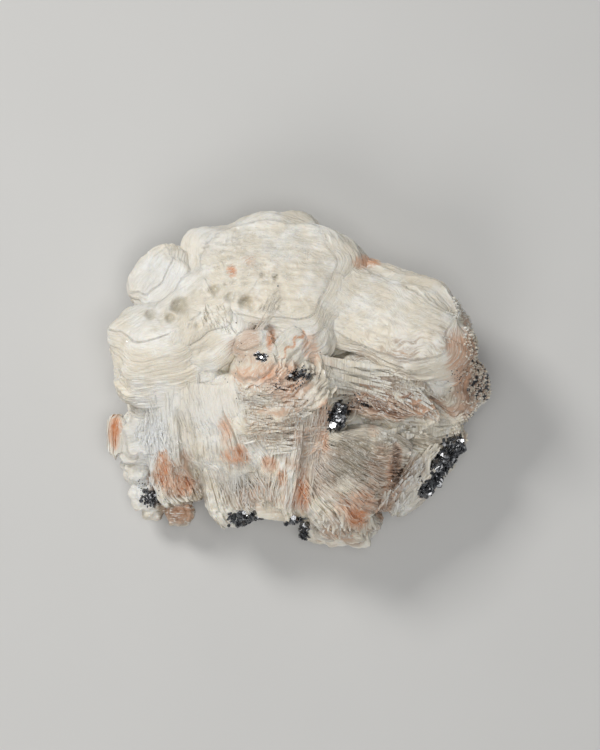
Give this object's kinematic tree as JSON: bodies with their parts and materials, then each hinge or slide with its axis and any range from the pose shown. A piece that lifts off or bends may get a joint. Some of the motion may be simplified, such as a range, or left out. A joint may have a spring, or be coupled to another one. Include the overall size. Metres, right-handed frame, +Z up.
{
  "type": "mineral specimen, calcite with specular hematite",
  "caption": "Palm-size cluster of splayed cream and peach calcite blades with black hematite crystals, lying on a flat spot of its broken underside.",
  "frame": {"origin": "middle of the flat spot on the underside that the stone rests on", "axes": "+Z up, away from the surface that it rests on; +X along the longest width; +Y towards the dome of bladed calcite"},
  "size_m": [0.0871, 0.0772, 0.0345],
  "materials": {
    "calcite": "translucent cream to white with a pearly to glassy lustre, stained peach, orange and brown by iron",
    "hematite": "black with a bright metallic lustre"
  },
  "bodies": {
    "root": {"calcite_mass": "calcite", "hematite_centre": "hematite", "hematite_fleck": "hematite", "hematite_lower_right": "hematite", "hematite_bottom": "hematite", "hematite_lower_left": "hematite", "hematite_foot": "hematite"}
  },
  "joints": []
}
